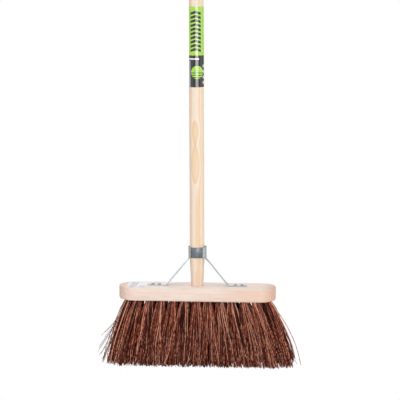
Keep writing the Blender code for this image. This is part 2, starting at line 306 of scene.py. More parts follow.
def setStudio():
    scene = bpy.context.scene
    lens = bpy.data.cameras.new("camera")
    lens.lens = studio["lens"]
    camera = newPiece("camera", lens)
    back = outward(studio["azimuth"], studio["elevation"])
    camera.location = Vector(studio["aim"]) + back * studio["distance"]
    turn = (-back).to_track_quat("-Z", "Y") @ Matrix.Rotation(radians(studio["roll"]), 3, "Z").to_quaternion()
    camera.rotation_euler = turn.to_euler()
    scene.camera = camera
    scene.view_settings.view_transform = "Standard"

    for name, (azimuth, elevation, distance, height, width, tall, watts) in studio["lamps"].items():
        panel = bpy.data.lights.new(name, "AREA")
        panel.shape = "RECTANGLE"
        panel.size, panel.size_y, panel.energy = width, tall, watts
        lamp = newPiece(name, panel)
        away = outward(azimuth, elevation)
        lamp.location = away * distance + Vector((0, 0, height))
        lamp.rotation_euler = (-away).to_track_quat("-Z", "Y").to_euler()
        lamp.visible_camera = False

    world = bpy.data.worlds.new("paleRoom")
    world.use_nodes = True
    scene.world = world
    bench = NodeBench(world.node_tree)
    seen = seenDirectly(bench)
    background = world.node_tree.nodes["Background"]
    bench.feed(background.inputs["Color"], studio["white"])
    bench.feed(background.inputs["Strength"], seen + (1 - seen) * studio["worldLight"])

    paper = Finish("paleFloor", BaseColor=studio["floorColour"], Roughness=0.9, SpecularIORLevel=0.0)
    seen = seenDirectly(paper)
    glow = paper.node("ShaderNodeEmission", {"Color": studio["white"], "Strength": 1.0})
    body = Wire(paper, paper.shader.outputs[0])
    x, y, _ = paper.split(paper.here())
    far = (x ** 2 + y ** 2).root().rise(*studio["shadowReach"])
    share = seen * (studio["floorWhite"] + (1 - studio["floorWhite"]) * far)
    mixed = paper.node("ShaderNodeMixShader", {0: share, 1: body, 2: glow})
    paper.tree.links.new(mixed.socket, paper.tree.nodes["Material Output"].inputs["Surface"])
    half = studio["floorSize"] / 2
    corners = [(-half, -half, 0), (half, -half, 0), (half, half, 0), (-half, half, 0)]
    mesh = pointMesh("floor", corners, [(0, 1, 2, 3)])
    newPiece("floor", mesh, finish=paper.material)
    print("studio set")


def seenDirectly(bench):
    # 1 for rays from the camera, for reflections and through glass
    rays = bench.node("ShaderNodeLightPath").socket.node.outputs
    camera, glossy, through = (Wire(bench, rays[f"Is {kind} Ray"]) for kind in ("Camera", "Glossy", "Transmission"))
    return (camera + glossy + through).lower(1.0)


# sizes shared by the pieces, in metres
blockFoot, blockTop = 0.122, 0.148
handleRadius, neckRadius, taperLength = 0.014, 0.0119, 0.052
bandFoot, bandTop = blockTop + 0.055, blockTop + 0.075
fitGap, stripThick = 0.0003, 0.001
footUnder = blockTop + fitGap
footBend, footLength, screwOffset, screwPitch = 0.0585, 0.0365, 0.0145, 0.0125
pilotRadius, cutOverrun = 0.0019, 0.002


def handleRadiusAt(height):
    return min(handleRadius, neckRadius + (handleRadius - neckRadius) * height / taperLength)


def screwPlaces():
    first = footBend + screwOffset
    return [(side * reach, 0.0) for side in (-1, 1) for reach in (first, first + screwPitch)]


# brush block: beech, rounded all round, with its holes
block = {
    "length": 0.300, "depth": 0.064, "topRounding": 0.0026, "footRounding": 0.0042,
    "socketDepth": 0.0135, "socketGap": 0.00025, "socketSides": 64, "pilotDepth": 0.013, "holeRadius": 0.0056,
    "holeDepth": 0.010, "holeSides": 20, "endSteps": 40, "roundSteps": 6,
    "pale": (0.92, 0.78, 0.70), "warm": (0.885, 0.695, 0.58), "endGrain": (0.705, 0.455, 0.35),
    "fleck": (0.62, 0.40, 0.28), "rosy": (0.87, 0.61, 0.47), "topFace": (0.92, 0.815, 0.78)
}


def beechFinish():
    wood = Finish("planedBeech", SpecularIORLevel=0.14)
    x, y, z = wood.split(wood.here())
    drift = wood.noise((7, 22, 22), 2.0)
    rings = (((y + 0.09) ** 2 + (z - 0.03) ** 2).root() * 900 + drift * 9).sine() * 0.5 + 0.5
    lines = wood.noise((14, 420, 420), 4.0, 0.6)
    cloud = wood.noise((9, 30, 30), 3.0, 0.5, (0.3, 0.1, 0.2))
    warmth = rings * 0.34 + lines.rise(0.38, 0.68) * 0.42 + cloud.rise(0.38, 0.66) * 0.50 - 0.12
    colour = wood.blend((warmth + x.rise(0.02, 0.12) * 0.45).lower(1.0), block["pale"], block["warm"])
    colour = wood.blend(x.rise(0.02, 0.11) * (0.35 + cloud * 0.6), colour, block["rosy"])
    smudge = wood.noise((26, 110, 150), 2.0, 0.5, (0.7, 0.2, 0.4)).rise(0.54, 0.70)
    colour = wood.blend(smudge * 0.60, colour, block["rosy"])
    # painted highlight: the top face is made paler and pinker, a sheen for the light falling on it from above
    colour = wood.blend(z.rise(blockTop - 0.0018, blockTop - 0.0004) * 0.6, colour, block["topFace"])
    dashes = wood.node("ShaderNodeTexVoronoi", {"Vector": wood.stretched((190, 1150, 1150)), "Scale": 1.0})
    dash = dashes.rise(0.34, 0.12) * wood.noise((30, 60, 60), 2.0).rise(0.45, 0.62)
    colour = wood.blend(dash * 0.50, colour, block["fleck"])
    # the rounded ends are darker and more orange: partly end grain, partly painted shade of the ends turning away from
    # the light; a little stronger at the right end
    end = abs(x).rise(0.121, 0.149)
    pores = wood.noise((900, 1500, 1500), 2.0)
    share = 0.58 + 0.13 * rings + 0.15 * pores + x.rise(0.0, 0.1) * 0.05
    colour = wood.blend(end * share, colour, block["endGrain"])
    wood.put(BaseColor=colour, Roughness=0.50 + lines * 0.16)
    wood.bump(lines * 0.7 + pores * 0.3 - dash * 0.4, 0.35, 0.0003)
    return wood.material


def stadiumRing(inset, height):
    radius = block["depth"] / 2
    reach = block["length"] / 2 - radius
    ring = []
    for side in (1, -1):
        for step in range(block["endSteps"] + 1):
            angle = side * pi * (0.5 - step / block["endSteps"])
            ring.append((side * (reach + (radius - inset) * cos(angle)),
                         (radius - inset) * sin(angle), height))
    return ring


def buildBlock():
    top, foot = block["topRounding"], block["footRounding"]
    angles = spaced(0, pi / 2, block["roundSteps"])
    rings = [stadiumRing(top * (1 - sin(angle)), blockTop - top * (1 - cos(angle))) for angle in angles]
    rings += [stadiumRing(foot * (1 - cos(angle)), blockFoot + foot * (1 - sin(angle))) for angle in angles]
    body = newPiece("blockBody", ringMesh("blockBody", rings))
    socket = [circle(handleRadiusAt(height) + block["socketGap"], blockTop + height, block["socketSides"])
              for height in (cutOverrun, -block["socketDepth"])]
    roots = [(x, y) for x, y, _, _ in tuftPlaces()]
    mesh = cutAway(body, ringMesh("socket", socket),
                   cylinders("tuftHoles", roots, block["holeRadius"], blockFoot - cutOverrun,
                             blockFoot + block["holeDepth"], block["holeSides"]),
                   cylinders("pilotHoles", screwPlaces(), pilotRadius, blockTop - block["pilotDepth"],
                             blockTop + cutOverrun, block["holeSides"]))
    newPiece("beechBlock", smooth(mesh), "beech", ["brush_block"], beechFinish())
    print("brush block built")


# handle: turned softwood with a domed end and a tapered foot
pole = {
    "foot": blockTop - 0.0132, "length": 1.500, "domeHeight": 0.008, "domeFlat": 0.006, "chamfer": 0.001,
    "sides": 96, "stations": 150, "endSteps": 8, "waviness": 0.00012,
    "cream": (0.92, 0.77, 0.635), "honey": (0.885, 0.615, 0.345), "pink": (0.82, 0.60, 0.47),
    "line": (0.74, 0.50, 0.32), "yearWidth": 0.0026, "pithTurn": 0.12,
    "figure": ((0.381, 0.053, 0.0021), (0.444, 0.033, 0.0015))
}


def poleFinish():
    wood = Finish("varnishedSoftwood", SpecularIORLevel=0.25, CoatRoughness=0.3, CoatIOR=1.45)
    x, y, z = wood.split(wood.here())
    drift = wood.noise((26, 26, 2.1), 2.0, 0.5, (0.2, 0.4, 0.0))
    sway = wood.noise((9, 9, 5), 1.0, 0.5, (0.1, 0.6, 0.3))
    turned = x.sum("ARCTAN2", 0 - y)
    depth = (1 - (turned + pole["pithTurn"]).cosine()) * 0.0095 + 0.0004 + (sway - 0.5) * z.rise(0.47, 0.54) * 0.005
    for middle, reach, height in pole["figure"]:  # long ovals where the yearly layers come to the surface
        depth = depth - abs(z - middle).rise(reach, 0.0) * height
    layers = depth / pole["yearWidth"] + drift * 0.4 - 0.2
    years = layers.fraction()
    late = years.rise(0.30, 0.86) * years.rise(1.0, 0.93)
    hairs = wood.noise((620, 620, 9), 3.0, 0.6)
    blush = wood.noise((40, 40, 5), 3.0, 0.5, (0.5, 0.1, 0.7))
    colour = wood.blend((late * 0.85).higher(layers.rise(0.0, -0.12) * 0.58), pole["cream"], pole["honey"])
    # pinker and darker along the whole left side of the handle, x below about -7 mm, with random pink blush
    colour = wood.blend((0 - x).rise(0.007, 0.0130) * 0.7 + blush.rise(0.55, 0.8) * 0.3, colour, pole["pink"])
    low = z.rise(0.345, 0.305)
    colour = wood.blend(low * turned.rise(-0.18, 0.04) * turned.rise(0.54, 0.40) * 0.75, colour, pole["honey"])
    colour = wood.blend(z.rise(0.20, 0.155) * 0.45, colour, pole["pink"])
    patch = (((turned + 0.16) / 0.27) ** 2 + ((z - 0.186) / 0.013) ** 2).root().rise(1.1, 0.6)
    streak = low * (turned.rise(0.56, 0.64) * turned.rise(0.80, 0.70)
                    + turned.rise(-0.7, -0.55) * turned.rise(-0.2, -0.35))
    colour = wood.blend((patch + streak * 0.7).lower(0.85), colour, pole["cream"])
    colour = wood.blend(years.rise(0.86, 0.95) * years.rise(1.0, 0.97) * 0.35 + hairs.rise(0.55, 0.8) * 0.16,
                        colour, pole["line"])
    wood.put(BaseColor=colour, Roughness=0.46 + hairs * 0.16, CoatWeight=0.15)
    wood.bump(hairs * 0.6 + late * 0.4, 0.25, 0.0002)
    return wood.material


def buildHandle():
    foot, top, steps = pole["foot"], pole["foot"] + pole["length"], pole["endSteps"]
    profile = []
    for angle in spaced(0, pi / 2, steps):
        radius = pole["domeFlat"] + (handleRadius - pole["domeFlat"]) * sin(angle)
        profile.append((radius, top - pole["domeHeight"] * (1 - cos(angle))))
    high, low = profile[steps][1], blockTop + taperLength
    profile += [(handleRadius, height) for height in spaced(high, low, pole["stations"])[1:]]
    taper = spaced(low, foot + pole["chamfer"], steps)[1:]
    profile += [(handleRadiusAt(height - blockTop), height) for height in taper]
    profile.append((handleRadiusAt(foot - blockTop) - pole["chamfer"], foot))
    rings = []
    for radius, height in profile:
        ring = []
        for i in range(pole["sides"]):
            angle = tau * i / pole["sides"]
            wave = sin(2 * angle + height * 9) + 0.6 * sin(3 * angle - height * 23)
            ring.append(polar(radius - pole["waviness"] * (1 + wave / 1.6), angle, height))
        rings.append(ring)
    newPiece("turnedHandle", smooth(ringMesh("turnedHandle", rings)), "pine", ["handle"], poleFinish())
    print("handle built")


# label: printed film wrapped round the handle, with a plain design
label = {
    "foot": blockTop + 0.379, "length": 0.149, "radius": 0.0142, "thick": 0.00022, "sides": 128, "stations": 24,
    "lapAngle": 0.22, "lapShare": (0.955, 0.02), "curl": 0.00003, "curlReach": 0.004,
    "split": 0.5860, "lime": (0.385, 0.685, 0.068), "ink": (0.003, 0.003, 0.005), "grey": (0.40, 0.40, 0.45),
    "white": (0.88, 0.88, 0.90), "cream": (0.86, 0.80, 0.60), "gloss": 0.61,
    "chevronFoot": 0.5945, "chevrons": 10, "chevronPitch": 0.0076, "chevronReach": 0.0108,
    "sunHeight": 0.5545, "sunRadius": 0.0125, "sunShift": 0.0030, "dotPitch": 0.0102
}


def labelFinish():
    film = Finish("printedFilm", Roughness=0.15, SpecularIORLevel=label["gloss"])
    x, y, z = film.split(film.here())
    arc = x.sum("ARCTAN2", 0 - y) * label["radius"]

    # upper field: stacked chevrons, open in the middle
    rowsUp = (z - label["chevronFoot"] + abs(arc) * 0.30) / label["chevronPitch"]
    bar = rowsUp.fraction().between(0.12, 0.74, 0.04) * rowsUp.between(0.0, label["chevrons"], 0.01)
    bar = bar * abs(arc).rise(label["chevronReach"], label["chevronReach"] - 0.0006)
    upper = film.blend(bar, label["lime"], label["ink"])

    # lower field: a striped disc, a pin line, a grey edge and a column of dots
    sun = ((arc - label["sunShift"]) ** 2 + (z - label["sunHeight"]) ** 2).root()
    sun = sun.rise(label["sunRadius"], label["sunRadius"] - 0.0006)
    stripes = ((z - label["sunHeight"]) / 0.0042).fraction()
    sun = sun * (1 - stripes.between(0.60, 0.95, 0.06) * z.rise(label["sunHeight"] + 0.001, label["sunHeight"]))
    lower = film.blend(sun, label["ink"], label["lime"])
    lower = film.blend(z.between(0.5782, 0.5808) * arc.rise(0.0075, 0.0055), lower, label["white"])
    lower = film.blend((0 - arc).between(0.0110, 0.0170) * z.rise(0.5765, 0.576), lower, label["grey"])
    step = ((z / label["dotPitch"]).fraction() - 0.5) * label["dotPitch"]
    dot = ((arc - 0.0170) ** 2 + (step * 0.8) ** 2).root().rise(0.0026, 0.0020) * z.between(0.5315, 0.5715)
    lower = film.blend(dot, lower, label["cream"])
    colour = film.blend(z.rise(label["split"] - 0.0002, label["split"] + 0.0002), lower, upper)
    speck = film.noise((160, 160, 160), 2.0)
    film.put(BaseColor=film.blend(speck.rise(0.55, 0.9) * 0.02, colour, label["white"]))
    film.bump(film.noise((70, 70, 24), 2.0), 0.10, 0.0006)
    return film.material


def buildLabel():
    # the film goes once round and laps a little at the back
    foot, top = label["foot"], label["foot"] + label["length"]
    lapStart, lapRise = label["lapShare"]
    rings = []
    for height in spaced(foot, top, label["stations"]):
        curl = label["curl"] * max(0.0, 1 - min(height - foot, top - height) / label["curlReach"])
        inner, outer = [], []
        for share in spaced(0, 1, label["sides"]):
            angle = pi / 2 + (tau + label["lapAngle"]) * share
            lift = label["thick"] * 1.05 * max(0.0, min(1.0, (share - lapStart) / lapRise))
            r = label["radius"] + curl + lift
            inner.append(polar(r, angle, height))
            outer.append(polar(r + label["thick"], angle, height))
        rings.append(inner + outer[::-1])
    mesh = smooth(ringMesh("filmLabel", rings), 40)
    newPiece("filmLabel", mesh, "label_film", ["handle_label"], labelFinish())
    print("label built")


# sticker: bare paper label on the block
sticker = {
    "right": -(footBend + footLength + 0.001), "length": 0.037, "depth": 0.049, "corner": 0.003,
    "thick": 0.0001, "height": 0.0001, "curl": 0.0004, "curlReach": 0.005, "columns": 24, "rows": 32,
    "softEdge": 0.00035, "white": (0.79, 0.785, 0.82), "tint": (0.33, 0.325, 0.38), "fibre": (0.70, 0.69, 0.70)
}


def stickerFinish():
    paper = Finish("coatedPaper", Roughness=0.5, SpecularIORLevel=0.2)
    x, y, _ = paper.split(paper.here())
    x, soft = x - (sticker["right"] - sticker["length"]), sticker["softEdge"]
    field = x.between(0.00485, 0.01865, soft) * y.between(-0.01865, 0.01865, soft)
    panel = x.between(0.02285, 0.03415, soft) * y.between(-0.01865, -0.00635, soft)
    fibres = paper.noise((900, 900, 900), 3.0)
    colour = paper.blend(field * 0.55 + panel * 0.35, sticker["white"], sticker["tint"])
    paper.put(BaseColor=paper.blend(fibres.rise(0.4, 0.8) * 0.08, colour, sticker["fibre"]))
    paper.bump(fibres + paper.noise((45, 45, 45), 2.0) * 2, 0.2, 0.0003)
    return paper.material


def buildSticker():
    high, low = sticker["right"], sticker["right"] - sticker["length"]
    half, corner = sticker["depth"] / 2, sticker["corner"]
    shape = bmesh.new()
    grid = []
    for x in spaced(low, high, sticker["columns"]):
        near = max(0.0, corner - min(x - low, high - x))
        reach = half - corner + sqrt(max(0.0, corner ** 2 - near ** 2))
        line = []
        for across in spaced(-1, 1, sticker["rows"]):
            y = reach * across
            edge = max(0.0, 1 - min(x - low, high - x, half - abs(y)) / sticker["curlReach"])
            lift = sticker["curl"] * edge ** 2 * (0.5 + 0.5 * sin(x * 310 + y * 170))
            line.append(shape.verts.new((x, y, blockTop + sticker["height"] + lift)))
        grid.append(line)
    skinGrid(shape, grid)
    sheet = newPiece("stickerSheet", meshFrom(shape, "paperSticker"))
    wall = sheet.modifiers.new("thickness", "SOLIDIFY")
    wall.thickness, wall.offset = sticker["thick"], 1
    newPiece("paperSticker", smooth(plainMesh(sheet)), "sticker_paper", ["price_sticker"], stickerFinish())
    print("sticker built")


# bracket: clamp band and two stays of galvanised strip, angles in degrees
bracket = {
    "lapEdge": 20, "lapOverlap": 45, "joggle": 25, "lapClearance": 6, "bandSteps": 200, "edgeRound": 0.00018,
    "edgeAngle": 50, "tabHalf": 48, "lipHeight": 0.0012, "lipFlare": 0.0009, "shoulder": 0.003,
    "flattening": 0.010, "legWidth": 0.012, "footWidth": 0.015, "footWidening": 0.005, "bendRadius": 0.0035,
    "endAngle": 84, "columns": 16, "holeSides": 20, "holeDepth": 0.004, "twist": (-9.0, 2.0),
    "footDulling": 0.20, "leftDulling": 0.25,
    "stays": {"body": (0.44, 0.465, 0.475), "pale": (0.60, 0.635, 0.65), "dark": (0.24, 0.26, 0.275),
              "grazing": (0.52, 0.53, 0.53)},
    # the band's tones are a darker copy of the stays' zinc: painted shade for the band's darker look
    "band": {"body": (0.150, 0.166, 0.184), "pale": (0.24, 0.26, 0.28), "dark": (0.09, 0.10, 0.115),
             "grazing": (0.9, 0.92, 0.95)}
}


def zincFinish(name, tones):
    zinc = Finish(name, Metallic=0.85, SpecularIORLevel=0.5, SpecularTint=(*tones["grazing"], 1.0))
    cells = zinc.node("ShaderNodeTexVoronoi", {"Vector": zinc.stretched((260, 260, 260)), "Scale": 1.0},
                      "Color", feature="SMOOTH_F1")
    spangle = zinc.split(cells)[0]
    streak = zinc.noise((240, 240, 1500), 3.0)
    smudge = zinc.noise((90, 90, 90), 4.0, 0.6)
    colour = zinc.blend(spangle * 0.55, tones["body"], tones["pale"])
    x, _, z = zinc.split(zinc.here())
    # darker near the block top, and painted shade on the left tab and the left side of the band above the band's foot
    dullingAndShade = z.rise(blockTop + 0.006, blockTop + 0.002) * bracket["footDulling"]
    dullingAndShade = dullingAndShade + z.rise(bandFoot - 0.008, bandFoot) * x.rise(-0.008, -0.011) * bracket["leftDulling"]
    colour = zinc.blend((smudge.rise(0.45, 0.8) * 0.5 + dullingAndShade).lower(1.0), colour, tones["dark"])
    zinc.put(BaseColor=colour, Roughness=0.30 + spangle * 0.12 + streak * 0.12)
    zinc.bump(streak * 0.5 + spangle * 0.3, 0.18, 0.0002)
    return zinc.material


def bandRadius(turned):
    inner = handleRadius + fitGap
    outer = inner + stripThick + fitGap
    if turned <= radians(bracket["lapOverlap"]):
        return outer
    step = min(1, (turned - radians(bracket["lapOverlap"])) / radians(bracket["joggle"]))
    return outer + (inner - outer) * eased(step)


def rounded(piece):
    edge = piece.modifiers.new("edge", "BEVEL")
    edge.width, edge.segments, edge.limit_method = bracket["edgeRound"], 2, "ANGLE"
    edge.angle_limit = radians(bracket["edgeAngle"])
    return smooth(plainMesh(piece), 30)


def buildBand(dullZinc):
    full = tau + radians(bracket["lapOverlap"] - bracket["lapClearance"])
    sections = []
    for turned in spaced(0, full, bracket["bandSteps"]):
        angle = radians(bracket["lapEdge"]) + turned - pi / 2
        r = bandRadius(turned)
        sections.append([polar(reach, angle, height) for reach, height in (
            (r, bandTop), (r + stripThick, bandTop), (r + stripThick, bandFoot), (r, bandFoot))])
    strip = newPiece("bandStrip", ringMesh("bandStrip", sections))
    newPiece("zincBand", rounded(strip), "zinc_plate", ["clamp_band"], dullZinc)
    print("clamp band built")


def stayRows(tabRadius):
    # distance from the axis, height, half width, wrap round the handle from 1 to 0, share of the leg's twist
    tabHalf = radians(bracket["tabHalf"]) * tabRadius
    legHalf, footHalf = bracket["legWidth"] / 2, bracket["footWidth"] / 2
    knee = bandFoot - bracket["shoulder"]
    lip = bracket["lipHeight"]
    rows = [(tabRadius + bracket["lipFlare"] * (1 - i / 3) ** 1.5, bandTop + lip / 2 - lip * i / 3, tabHalf, 1, 0)
            for i in range(4)]
    rows += [(tabRadius, height, tabHalf, 1, 0) for height in spaced(bandTop - lip / 2, bandFoot, 4)[1:]]
    for i in range(1, 7):
        narrow = sin(pi / 2 * i / 6) ** 0.8
        rows.append((tabRadius, bandFoot + (knee - bandFoot) * i / 6, tabHalf + (legHalf - tabHalf) * narrow, 1, 0))
    rise, run = knee - footUnder, footBend - tabRadius
    length = hypot(rise, run)
    bend, flattening = bracket["bendRadius"], bracket["flattening"]
    for along in spaced(0, flattening, 6)[1:] + spaced(flattening, length - bend, 8)[1:]:
        share = along / length
        wrap = max(0.0, 1 - along / flattening) ** 1.5
        twist = max(0.0, min(1.0, (share - 0.03) / 0.18, (0.96 - share) / 0.12))
        rows.append((tabRadius + run * share, knee - rise * share, legHalf, wrap, eased(twist)))
    slope = atan2(rise, run)
    for i in range(1, 6):  # the foot bend, an even curve between the leg and the foot
        t = i / 6
        start = (footBend - bend * cos(slope), footUnder + bend * sin(slope))
        x = start[0] * (1 - t) ** 2 + 2 * footBend * t * (1 - t) + (footBend + bend) * t * t
        z = start[1] * (1 - t) ** 2 + 2 * footUnder * t * (1 - t) + footUnder * t * t
        rows.append((x, z, legHalf, 0, 0))
    rows.append((footBend + bend, footUnder, legHalf, 0, 0))
    widening = bracket["footWidening"]
    for i in range(1, 5):
        widened = legHalf + (footHalf - legHalf) * (0.5 - 0.5 * cos(pi * i / 4))
        rows.append((footBend + bend + widening * i / 4, footUnder, widened, 0, 0))
    end = footBend + footLength
    start, straight = footBend + bend + widening, end - footHalf
    rows += [(reach, footUnder, footHalf, 0, 0) for reach in spaced(start, straight, 5)[1:-1]]
    for angle in spaced(0, radians(bracket["endAngle"]), 12):
        rows.append((end - footHalf * (1 - sin(angle)), footUnder, footHalf * cos(angle), 0, 0))
    return rows


def buildStay(name, node, side, tabRadius, zinc):
    shape = bmesh.new()
    grid = []
    slope = atan2(bandFoot - bracket["shoulder"] - footUnder, footBend - tabRadius)
    most = radians(bracket["twist"][0 if side < 0 else 1])
    for reach, height, halfWidth, wrap, twist in stayRows(tabRadius):
        line = []
        for across in spaced(-1, 1, bracket["columns"]):
            angle = across * halfWidth / reach
            x = reach * (1 - wrap * (1 - cos(angle)))
            y = wrap * reach * sin(angle) + (1 - wrap) * across * halfWidth
            lift = -sin(most * twist) * across * halfWidth  # square to the leg
            x, y, z = x + lift * sin(slope), y * cos(most * twist), height + lift * cos(slope)
            line.append(shape.verts.new((side * x, y, z)))
        grid.append(line)
    skinGrid(shape, grid, side < 0)
    strip = newPiece(name + "Strip", meshFrom(shape, name))
    wall = strip.modifiers.new("strip", "SOLIDIFY")
    wall.thickness, wall.offset, wall.use_even_offset = stripThick, 1, True
    strip = newPiece(name + "Cut", plainMesh(strip))
    places = [place for place in screwPlaces() if place[0] * side > 0]
    mesh = cutAway(strip, cylinders(name + "Holes", places, pilotRadius, footUnder - cutOverrun,
                                    footUnder + bracket["holeDepth"], bracket["holeSides"]))
    newPiece(name, rounded(newPiece(name + "Edged", mesh)), "zinc_plate", [node], zinc)


# screws: one pan head repeated by a node tree
screws = {
    "headRadius": 0.0034, "headHeight": 0.0022, "rim": 0.0007, "shankRadius": 0.0016, "shankLength": 0.0120,
    "rimEase": 0.0002, "coreRadius": 0.0003, "ridgeStart": 0.001, "ridgePitch": 0.0011, "ridges": 9,
    "recessSpan": 0.0038, "recessWidth": 0.0011, "recessDepth": 0.0012, "recessTop": 0.001, "sides": 24,
    "steps": 8, "gap": 0.00005, "seed": 4,
    # recess: a dark tone painted as shade in the cross recess and under the head
    "steel": (0.30, 0.315, 0.34), "steelWorn": (0.50, 0.51, 0.53), "recess": (0.05, 0.05, 0.055)
}


def screwFinish():
    steel = Finish("platedSteel", Metallic=0.9, SpecularIORLevel=0.5)
    wear = steel.noise((700, 700, 700), 3.0)
    z = steel.split(steel.here())[2]
    # painted shade: the floor of the cross recess and the lower rim of the head are blended towards the recess tone
    deep = z.rise(footUnder + stripThick + 0.0019, footUnder + stripThick + 0.0013)
    colour = steel.blend(wear.rise(0.4, 0.75), screws["steel"], screws["steelWorn"])
    steel.put(BaseColor=steel.blend(deep * 0.15, colour, screws["recess"]), Roughness=0.28 + wear * 0.2)
    steel.bump(wear, 0.12, 0.0001)
    return steel.material


def screwMesh():
    head, shank, ease = screws["headRadius"], screws["shankRadius"], screws["rimEase"]
    profile = [(screws["coreRadius"], screws["headHeight"])]
    for angle in spaced(0, pi / 2, screws["steps"])[1:]:
        profile.append((head * sin(angle), screws["rim"] + (screws["headHeight"] - screws["rim"]) * cos(angle)))
    profile += [(head, ease), (head - ease, 0.0), (shank, 0.0)]
    for i in range(screws["ridges"]):  # a plain ridged shank, hidden in the wood
        z = -screws["ridgeStart"] - screws["ridgePitch"] * i
        profile += [(shank * 0.8, z), (shank, z - screws["ridgePitch"] / 2)]
    profile.append((screws["coreRadius"], -screws["shankLength"]))
    rings = [circle(radius, height, screws["sides"]) for radius, height in profile]
    body = newPiece("screwBody", ringMesh("screwBody", rings))
    span, width = screws["recessSpan"] / 2, screws["recessWidth"] / 2
    top, foot = screws["headHeight"] + screws["recessTop"], screws["headHeight"] - screws["recessDepth"]
    arm = [(width, width), (width, span), (-width, span)]
    outline = []
    for quarter in range(4):
        turn = Matrix.Rotation(pi / 2 * quarter, 2)
        outline += [turn @ Vector(point) for point in arm]
    cross = [[(point.x * size, point.y * size, height) for point in outline]
             for size, height in ((1, top), (0.8, foot))]
    return smooth(cutAway(body, ringMesh("recess", cross)), 40)


def screwTree(template, finish):
    bench, given = newTree("screwHeads", {"Height": 0.0, "Turn Seed": 1})
    turn = bench.node("FunctionNodeRandomValue", {2: 0.0, 3: pi / 2, "Seed": given["Turn Seed"]}, 1, data_type="FLOAT")
    height = bench.join(0.0, 0.0, given["Height"])
    lifted = bench.node("GeometryNodeSetPosition", {"Geometry": given["Geometry"], "Offset": height})
    shape = bench.node("GeometryNodeObjectInfo", {"Object": template}, "Geometry")
    turned = bench.join(0.0, 0.0, turn)
    placed = bench.node("GeometryNodeInstanceOnPoints", {"Points": lifted, "Instance": shape, "Rotation": turned})
    return endTree(bench, placed, finish)


def buildScrews():
    template = newPiece("screwTemplate", screwMesh())
    seeds = pointMesh("screwPoints", [(x, y, footUnder + stripThick) for x, y in screwPlaces()])
    tree = screwTree(template, screwFinish())
    mesh = runTree("panScrews", seeds, tree, {"Height": screws["gap"], "Turn Seed": screws["seed"]})
    bpy.data.objects.remove(template, do_unlink=True)
    nodes = [f"{side}_{place}_screw" for side in ("left", "right") for place in ("inner", "outer")]
    newPiece("panScrews", mesh, "screw_steel", nodes)
    print("screws placed")


# tufts: piassava fibre, one node tree run on each row; pairs of values are for the left and right half
tufts = {
    "columns": 13, "rows": 4, "endMargin": 0.018, "sideMargin": 0.0095,
    "fan": (1.207, 1.284), "sideFan": 1.86, "cornerFan": 2.9, "cornerReach": 0.06,
    "wander": 0.0016, "inset": (0.0040, 0.0036), "endLift": (0.0004, 0.0005), "endFullness": 1.4,
    # share of the own lean, of the neck and of the spread across, for the end column and the next
    "manner": ((0.55, 1.14, 2.4), (0.72, 1.08, 1.15)),
    "sides": 4, "segments": 10, "goldenTurn": 2.39996, "limitSoftness": 0.006, "seed": 11,
    "inputs": {"Fibres": 92, "Root Depth": 0.006, "Root Radius": 0.0052, "Neck Radius": 0.0090,
               "Tip X": 0.0108, "Tip Y": 0.0100, "Loose": 0.0170, "Wave": 0.0017, "Width": 0.00098,
               "Ragged": 0.0036, "Stray Share": 0.04, "Stray Reach": 0.0060,
               "Limit X": 0.1926, "Limit Y": 0.0526, "Fibre Length": blockFoot}
}
strands = {
    "deep": (0.018, 0.004, 0.002), "brown": (0.074, 0.014, 0.008), "red": (0.240, 0.050, 0.028),
    "tan": (0.475, 0.126, 0.070), "pale": (0.68, 0.240, 0.142), "straw": (0.80, 0.43, 0.30),
    "dust": (0.42, 0.42, 0.42)
}
columnPitch = (block["length"] - 2 * tufts["endMargin"]) / (tufts["columns"] - 1)
endColumn = block["length"] / 2 - tufts["endMargin"]


def tuftPlaces():
    # root x and y, row and number within the row
    rowPitch = (block["depth"] - 2 * tufts["sideMargin"]) / (tufts["rows"] - 1)
    places = []
    for row in range(tufts["rows"]):
        skipped = int(row in (0, tufts["rows"] - 1))
        for number, column in enumerate(range(skipped, tufts["columns"] - skipped), 1):
            places.append(((column - (tufts["columns"] - 1) / 2) * columnPitch,
                           (row - (tufts["rows"] - 1) / 2) * rowPitch, row, number))
    return places


def fibreFinish():
    fibre = Finish("piassavaFibre", SpecularIORLevel=0.11)
    tone = fibre.node("ShaderNodeAttribute", {}, "Fac", attribute_name="fibreTone")
    along = fibre.node("ShaderNodeAttribute", {}, "Fac", attribute_name="along")
    patch = fibre.noise((150, 150, 30), 3.0, 0.6)
    fleck = fibre.noise((600, 600, 130), 2.0, 0.5).rise(0.36, 0.64)
    toTip = along.rise(0.30, 0.90)
    level = tone + patch * 0.30 + fleck * 0.45 - 0.365 - along * 0.03
    level = level + toTip * (fleck * 0.36 - tone * 0.18 - 0.115)
    level = level + (level - 0.52) * toTip * 0.34  # the tips are more mixed, and redder
    stops = [(0.0, strands["deep"]), (0.25, strands["brown"]), (0.50, strands["red"]),
             (0.70, strands["tan"]), (0.88, strands["pale"]), (1.0, strands["straw"])]
    colour = fibre.node("ShaderNodeValToRGB", {0: level}, stops=stops)
    colour = fibre.blend(toTip * 0.25, colour, strands["red"])
    colour = fibre.blend(along.rise(0.35, 0.05) * 0.022, colour, strands["dust"])
    fibre.put(BaseColor=colour, Roughness=0.34 + patch * 0.2)
    return fibre.material


